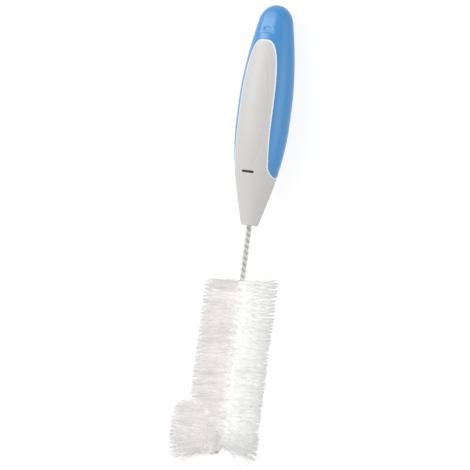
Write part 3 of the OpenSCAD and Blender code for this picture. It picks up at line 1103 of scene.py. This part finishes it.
def filament_mesh(name, form, lines, tone_and_painted_light, rng):
    """One mesh of thin three-sided filaments along lines, an array (filament, ring, 3).

    Its attributes are tone_and_painted_light, which holds each filament's own tone with the
    painted highlight and painted shade of the stem, tipward, which goes from 0 at the wire to 1
    at the tips, and shaded_half, the mask of the painted shade, which goes from 1 to 0 where the
    filaments cross to the side that toward_lit_half points to. That border sways by
    shaded_half_sway in a sine wave of seam_pitch.
    """
    count, rings = lines.shape[:2]
    heading = unit(np.gradient(lines, axis=1))
    side = unit(np.cross(heading, rng.normal(size=(count, 1, 3))))
    other = np.cross(heading, side)
    k = np.arange(3)
    turn = 2 * math.pi / 3 * k[:, None]
    ring = np.cos(turn) * side[:, :, None] + np.sin(turn) * other[:, :, None]
    points = laid_down((lines[:, :, None] + form.s.filament / 2 * ring).reshape(-1, 3))
    points[:, 2] = np.maximum(points[:, 2], form.clearance)
    left, right = (corner[1] for corner in BOX_AT_LOAD)
    points[:, 1] = np.clip(points[:, 1], left - form.proud, right + form.proud)

    i = np.arange(rings - 1)[:, None] * 3
    a, b = i + k, i + (k + 1) % 3
    quads = np.stack([a, b, b + 3, a + 3], -1).reshape(-1, 4)
    caps = np.stack([k[::-1], k + 3 * rings - 3])
    start = np.arange(count)[:, None, None] * rings * 3
    mesh = new_mesh(name, points, [(part + start).reshape(-1, part.shape[1])
                                   for part in (quads, caps)])
    tipward = np.abs(np.linspace(-1, 1, rings))
    # mask of the painted shade on one half of the stem, whose border sways along it
    sway = form.shaded_half_sway * np.sin(2 * math.pi * lines[..., 0] / form.seam_pitch)
    across = lines @ form.toward_lit_half - sway
    shaded_half = 1 - smooth_step(across, -form.shaded_half_ease, form.shaded_half_ease)
    shade = np.clip(tone_and_painted_light, 0, 1)[:, None]
    for key, values in (("tone_and_painted_light", shade), ("tipward", tipward), ("shaded_half", shaded_half)):
        write_values(mesh, key, np.repeat(np.broadcast_to(values, (count, rings)), 3))
    mesh.shade_smooth()
    return show(mesh)


# ---- materials ----


def feed(tree, socket, value):
    """Gives a socket its value: a constant, or the output of another node."""
    if isinstance(value, bpy.types.NodeSocket):
        tree.links.new(value, socket)
    else:
        socket.default_value = value


def add_node(tree, kind, **settings):
    """A shader node. Settings are its own options, or values of its inputs."""
    node = tree.nodes.new(kind)
    for key, value in settings.items():
        if hasattr(node, key):
            setattr(node, key, value)
        else:
            feed(tree, node.inputs[key.replace("_", " ").title()], value)
    return node


def calc(tree, operation, *values):
    """Output of a Math node. The values are constants, or outputs of other nodes."""
    node = add_node(tree, "ShaderNodeMath", operation=operation)
    for socket, value in zip(node.inputs, values):
        feed(tree, socket, value)
    return node.outputs[0]


def lay_out(tree):
    """Places the nodes in columns, each to the left of every node that it feeds."""
    column = {node.name: 0 for node in tree.nodes}
    for _ in tree.nodes:
        for link in tree.links:
            source, target = link.from_node.name, link.to_node.name
            column[source] = max(column[source], column[target] + 1)
    filled = dict.fromkeys(column.values(), 0)
    for node in tree.nodes:
        k = column[node.name]
        node.location = (-220 * k, -260 * filled[k])
        filled[k] += 1


def shader(name, **settings):
    """A new material, with its tree and its Principled BSDF. Settings are its inputs."""
    material = bpy.data.materials.new(name)
    material.use_nodes = True
    tree = material.node_tree
    principled = next(n for n in tree.nodes if n.type == "BSDF_PRINCIPLED")
    for key, value in settings.items():
        label = key.replace("_", " ").title().replace("Ior", "IOR")
        principled.inputs[label].default_value = value
    return material, tree, principled


def coloured(material, principled, body):
    """The material with its base colour linked and its nodes laid out."""
    feed(material.node_tree, principled.inputs["Base Color"], body)
    lay_out(material.node_tree)
    return material


def grain_group():
    """Node group: fine grain and slow unevenness of a moulded surface.

    The roughness that it puts out is Roughness + (patch - 0.5) * Spread.
    """
    group = bpy.data.node_groups.get("moulded_grain")
    if group:
        return group
    group = bpy.data.node_groups.new("moulded_grain", "ShaderNodeTree")
    face = group.interface
    face.new_socket("Vector", in_out="INPUT", socket_type="NodeSocketVector")
    for label, default in (("Grain Scale", 2500.0), ("Patch Scale", 60.0),
                           ("Roughness", 0.4), ("Spread", 0.05)):
        socket = face.new_socket(label, in_out="INPUT", socket_type="NodeSocketFloat")
        socket.default_value = default
    for label in ("Height", "Roughness", "Patch"):
        face.new_socket(label, in_out="OUTPUT", socket_type="NodeSocketFloat")
    given = add_node(group, "NodeGroupInput").outputs
    grain, patch = (
        add_node(group, "ShaderNodeTexNoise", Vector=given["Vector"], Scale=given[label],
                 Detail=detail).outputs["Fac"]
        for label, detail in (("Grain Scale", 3.0), ("Patch Scale", 2.0)))
    rough = calc(group, "MULTIPLY_ADD", calc(group, "SUBTRACT", patch, 0.5),
                 given["Spread"], given["Roughness"])
    add_node(group, "NodeGroupOutput", Height=grain, Roughness=rough, Patch=patch)
    lay_out(group)
    return group


def grained(tree, principled, dull, clear, strength, distance, **settings):
    """Adds the grain group and a Bump node to a material.

    Returns a colour that goes from dull to clear in the group's patches.
    """
    where = add_node(tree, "ShaderNodeTexCoord")
    grain = add_node(tree, "ShaderNodeGroup", node_tree=grain_group(),
                     Vector=where.outputs["Object"], **settings)
    bump = add_node(tree, "ShaderNodeBump", Strength=strength, Distance=distance,
                    Height=grain.outputs["Height"])
    feed(tree, principled.inputs["Roughness"], grain.outputs["Roughness"])
    feed(tree, principled.inputs["Normal"], bump.outputs["Normal"])
    return colour_mix(tree, grain.outputs["Patch"], dull, clear)


def colour_mix(tree, factor, low, high):
    """A colour that goes from low to high with factor. Both are colours or outputs."""
    mix = add_node(tree, "ShaderNodeMix", data_type="RGBA", Factor=factor)
    for socket, value in ((mix.inputs[6], low), (mix.inputs[7], high)):
        linked = isinstance(value, bpy.types.NodeSocket)
        feed(tree, socket, value if linked else (*value, 1))
    return mix.outputs[2]


def attribute(tree, name, output="Fac"):
    """Output of an attribute of the piece."""
    return add_node(tree, "ShaderNodeAttribute", attribute_name=name).outputs[output]


def white_plastic(finish):
    """Satin off-white plastic, with a painted highlight on the rim tinted blue by the grip
    beside it, and near black in the slot.
    """
    material, tree, principled = shader("white_plastic", ior=1.5)
    body = grained(tree, principled, finish.moulding_dull, finish.moulding_clear,
                   grain_scale=1800.0, patch_scale=45.0, roughness=0.48, spread=0.10,
                   strength=0.05, distance=0.2 * MM)
    # painted highlight on the rim, tinted blue by the grip
    body = colour_mix(tree, attribute(tree, "rim"), body, finish.rim)
    # near black inside the slot
    body = colour_mix(tree, slot_mask(tree), body, finish.slot_black)
    return coloured(material, principled, body)


def slot_mask(tree):
    """1 inside the slot below the thumb pad, from the piece's own place on the handle.

    That is where z > 0 and the distance from the slot's middle line is less than half its
    width, less a narrow edge.
    """
    edge = 0.05 * MM
    width, full = HandleForm.slot_size
    own = attribute(tree, "own_place", "Vector")
    x, y, z = add_node(tree, "ShaderNodeSeparateXYZ", Vector=own).outputs
    along = calc(tree, "SUBTRACT", x, HandleForm.slot_at)
    past = calc(tree, "SUBTRACT", calc(tree, "ABSOLUTE", y), (full - width) / 2)
    away = add_node(tree, "ShaderNodeCombineXYZ", X=along, Y=calc(tree, "MAXIMUM", past, 0.0))
    size = add_node(tree, "ShaderNodeVectorMath", operation="LENGTH", Vector=away.outputs[0])
    inside = calc(tree, "LESS_THAN", size.outputs["Value"], width / 2 - edge)
    return calc(tree, "MULTIPLY", inside, calc(tree, "GREATER_THAN", z, 0.0))


def blue_grip(finish):
    """Smooth soft-touch blue."""
    material, tree, principled = shader(
        "blue_grip", ior=1.5, sheen_weight=0.08, sheen_roughness=0.4, coat_weight=0.3,
        coat_roughness=0.3)
    body = grained(tree, principled, finish.grip_dull, finish.grip_clear,
                   grain_scale=2600.0, patch_scale=55.0, roughness=0.34, spread=0.05,
                   strength=0.05, distance=0.2 * MM)
    return coloured(material, principled, body)


def drawn_steel(finish):
    """Bright drawn wire."""
    material, tree, principled = shader("drawn_steel", metallic=1.0)
    body = grained(tree, principled, finish.steel_dull, finish.steel_clear,
                   grain_scale=1500.0, patch_scale=150.0, roughness=0.7, spread=0.12,
                   strength=0.12, distance=0.1 * MM)
    return coloured(material, principled, body)


def white_nylon(finish):
    """White filaments, each of its own tone, with one half of the stem painted lighter and the
    other painted in shade, and tips paler by painted light.

    The tips' colour takes tip_light_share times tipward to the power of tip_light_power: painted
    light that stands in for the shade deeper among the filaments. The filaments glow for rays
    that have bounced off something, a painted glow that stands in for the light that falls
    through real nylon.
    """
    tip_light_power, tip_light_share = 4.0, 0.4
    material, tree, principled = shader("white_nylon", ior=1.45, roughness=0.42,
                                        emission_strength=0.39)
    tone_and_painted_light = attribute(tree, "tone_and_painted_light")
    # lit and shaded copies of the filaments: painted light on one half of the stem, painted
    # shade on the other
    lit_half = colour_mix(tree, tone_and_painted_light, finish.lit_half_dull, finish.lit_half_clear)
    shaded_half = colour_mix(tree, tone_and_painted_light, finish.shaded_half_dull, finish.shaded_half_clear)
    body = colour_mix(tree, attribute(tree, "shaded_half"), lit_half, shaded_half)
    # painted light toward the tips, standing in for the shade deeper among the filaments
    near_tip = calc(tree, "POWER", attribute(tree, "tipward"), tip_light_power)
    body = colour_mix(tree, calc(tree, "MULTIPLY", near_tip, tip_light_share), body, finish.tip)
    # painted glow: white emission for diffuse and glossy rays, though the filaments are no lamp
    rays = add_node(tree, "ShaderNodeLightPath").outputs
    painted_glow = calc(tree, "MAXIMUM", rays["Is Diffuse Ray"], rays["Is Glossy Ray"])
    feed(tree, principled.inputs["Emission Color"], painted_glow)
    return coloured(material, principled, body)


def pale_floor():
    """A white floor for the camera and for reflections that keeps the shadow."""
    material = bpy.data.materials.new("pale_floor")
    material.use_nodes = True
    tree = material.node_tree
    tree.nodes.clear()
    plain, dim = (add_node(tree, "ShaderNodeBsdfDiffuse", Color=(grey, grey, grey, 1))
                  for grey in (0.55, 0.24))
    glow = add_node(tree, "ShaderNodeEmission", Strength=0.84)
    seen = add_node(tree, "ShaderNodeAddShader")
    rays = add_node(tree, "ShaderNodeLightPath").outputs
    straight = calc(tree, "MAXIMUM", rays["Is Camera Ray"], rays["Is Glossy Ray"])
    straight = calc(tree, "MAXIMUM", straight, rays["Is Transmission Ray"])
    mix = add_node(tree, "ShaderNodeMixShader", Fac=straight)
    for socket, node in ((seen.inputs[0], dim), (seen.inputs[1], glow),
                         (mix.inputs[1], plain), (mix.inputs[2], seen)):
        feed(tree, socket, node.outputs[0])
    add_node(tree, "ShaderNodeOutputMaterial", Surface=mix.outputs[0])
    lay_out(tree)
    return material


# ---- operators ----


class BRUSH_OT_handle(bpy.types.Operator):
    """Adds the hard moulding and the soft grip of the handle"""

    bl_idname = "brush.add_handle"
    bl_label = "Add handle"

    def execute(self, context):
        sizes, finish = context.scene.brush_handle, context.scene.brush_finish
        finish_piece(hard_moulding(sizes), white_plastic(finish),
                     "handle_body")
        finish_piece(soft_grip(sizes), blue_grip(finish), "grip_cover")
        return {"FINISHED"}


class BRUSH_OT_wire(bpy.types.Operator):
    """Adds the twisted wire"""

    bl_idname = "brush.add_wire"
    bl_label = "Add wire"

    def execute(self, context):
        material = drawn_steel(context.scene.brush_finish)
        finish_piece(twisted_wire(context.scene.brush_wire), material, "stem_wire")
        return {"FINISHED"}


class BRUSH_OT_bristles(bpy.types.Operator):
    """Adds the filaments of the stem, in three pieces, and of the toe"""

    bl_idname = "brush.add_bristles"
    bl_label = "Add bristles"

    def execute(self, context):
        sizes = context.scene.brush_bristles
        form = BristleForm(sizes, WireForm(context.scene.brush_wire))
        material = white_nylon(context.scene.brush_finish)
        rng = np.random.default_rng(sizes.seed)
        marks = np.linspace(*form.stem(), 4)
        runs = [(f"stem_filaments_{k + 1}", "bristles_main", marks[k], marks[k + 1])
                for k in range(3)]
        runs.append(("toe_filaments", "bristles_toe", *form.toe()))
        for name, node, low, high in runs:
            s = np.sort(rng.uniform(low, high, int(sizes.per_metre * (high - low))))
            lines, tone_and_painted_light = filament_lines(form, s, node == "bristles_toe", rng)
            finish_piece(filament_mesh(name, form, lines, tone_and_painted_light, rng), material,
                         node)
        return {"FINISHED"}


class BRUSH_OT_stage(bpy.types.Operator):
    """Adds the floor, the lamps, the world and the camera"""

    bl_idname = "brush.add_stage"
    bl_label = "Add stage"

    def execute(self, context):
        settings = context.scene.brush_stage
        add_floor()
        set_world()
        add_camera(settings)
        return {"FINISHED"}


def add_floor():
    """A flat floor, wider than any camera sees."""
    half = 6.0
    mesh = bpy.data.meshes.new("floor")
    corners = [(-half, -half, 0), (half, -half, 0), (half, half, 0), (-half, half, 0)]
    mesh.from_pydata(corners, [], [(0, 1, 2, 3)])
    mesh.materials.append(pale_floor())
    show(mesh)


def set_world():
    """An even pale world that fills the shadows."""
    world = bpy.data.worlds.new("studio")
    world.use_nodes = True
    back = next(n for n in world.node_tree.nodes if n.type == "BACKGROUND")
    back.inputs["Color"].default_value = (1, 1, 1, 1)
    back.inputs["Strength"].default_value = 0.66
    bpy.context.scene.world = world


def camera_axes(settings):
    """Right, up and backward direction of the camera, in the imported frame.

    The camera stands square to the handle's axis, turned about it from the front. The
    picture is then turned about the line of sight by the lean.
    """
    t, lean = settings.view_turn, settings.lean
    back = np.array([0, -math.sin(t), math.cos(t)])
    across = np.array([0, -math.cos(t), -math.sin(t)])
    along = np.array([1.0, 0, 0])
    up = math.cos(lean) * along - math.sin(lean) * across
    right = math.cos(lean) * across + math.sin(lean) * along
    return right @ AXES, up @ AXES, back @ AXES, along, across


# each lamp's name, its way from the aim to the right, up and toward the camera and its size,
# all in metres, and its power in watts
LAMPS = (("key", -1.85, 1.0, 0.65, 1.3, 24.0), ("fill", 1.3, 0.0, 1.3, 1.3, 9.0))


def add_camera(settings):
    """A long lens at the distance and turn of the settings, and the lamps round its aim."""
    right, up, back, along, across = camera_axes(settings)
    aim = laid_down(settings.aim_along * along + settings.aim_across * across)
    data = bpy.data.cameras.new("camera")
    data.sensor_width = 36.0
    data.lens = data.sensor_width * settings.distance / settings.field
    data.clip_end = 50.0
    place = aim + settings.distance * back
    bpy.context.scene.camera = put("camera", data, right, up, back, place)
    for name, to_right, to_up, to_back, size, power in LAMPS:
        add_lamp(name, aim, to_right * right + to_up * up + to_back * back, size, power)


def put(name, data, right, up, back, place):
    """An object for data with those axes at that place."""
    rows = np.eye(4)
    rows[:3] = np.stack([right, up, back, place], 1)
    item = bpy.data.objects.new(name, data)
    bpy.context.scene.collection.objects.link(item)
    item.matrix_world = Matrix(rows.tolist())
    return item


def add_lamp(name, aim, offset, size, power):
    """A square soft lamp at aim + offset that points at aim."""
    data = bpy.data.lights.new(name, "AREA")
    data.size = size
    data.energy = power
    back = unit(offset)
    right = unit(np.cross((0, 0, 1), back))
    put(name, data, right, np.cross(back, right), back, aim + offset)


class BRUSH_PT_panel(bpy.types.Panel):
    """The sizes and colours of the brush, and a button for each piece"""

    bl_idname = "BRUSH_PT_panel"
    bl_label = "Bottle brush"
    bl_space_type = "VIEW_3D"
    bl_region_type = "UI"
    bl_category = "Brush"

    def draw(self, context):
        for key, (_, operator) in GROUPS.items():
            box = self.layout.box()
            group = getattr(context.scene, key)
            for name in group.__annotations__:
                box.prop(group, name)
            if operator:
                box.operator(operator.bl_idname)


GROUPS = {"brush_handle": (HandleSizes, BRUSH_OT_handle),
          "brush_wire": (WireSizes, BRUSH_OT_wire),
          "brush_bristles": (BristleSizes, BRUSH_OT_bristles),
          "brush_finish": (Finishes, None),
          "brush_stage": (StageSettings, BRUSH_OT_stage)}
CLASSES = [cls for pair in GROUPS.values() for cls in pair if cls] + [BRUSH_PT_panel]


def register():
    for cls in CLASSES:
        bpy.utils.register_class(cls)
    for key, (cls, _) in GROUPS.items():
        setattr(bpy.types.Scene, key, bpy.props.PointerProperty(type=cls))


def unregister():
    for key in GROUPS:
        delattr(bpy.types.Scene, key)
    for cls in reversed(CLASSES):
        bpy.utils.unregister_class(cls)


def main():
    register()
    bpy.ops.brush.add_handle()
    bpy.ops.brush.add_wire()
    bpy.ops.brush.add_bristles()
    bpy.ops.brush.add_stage()
    bpy.context.scene.view_settings.view_transform = "Standard"


if __name__ == "__main__":
    main()
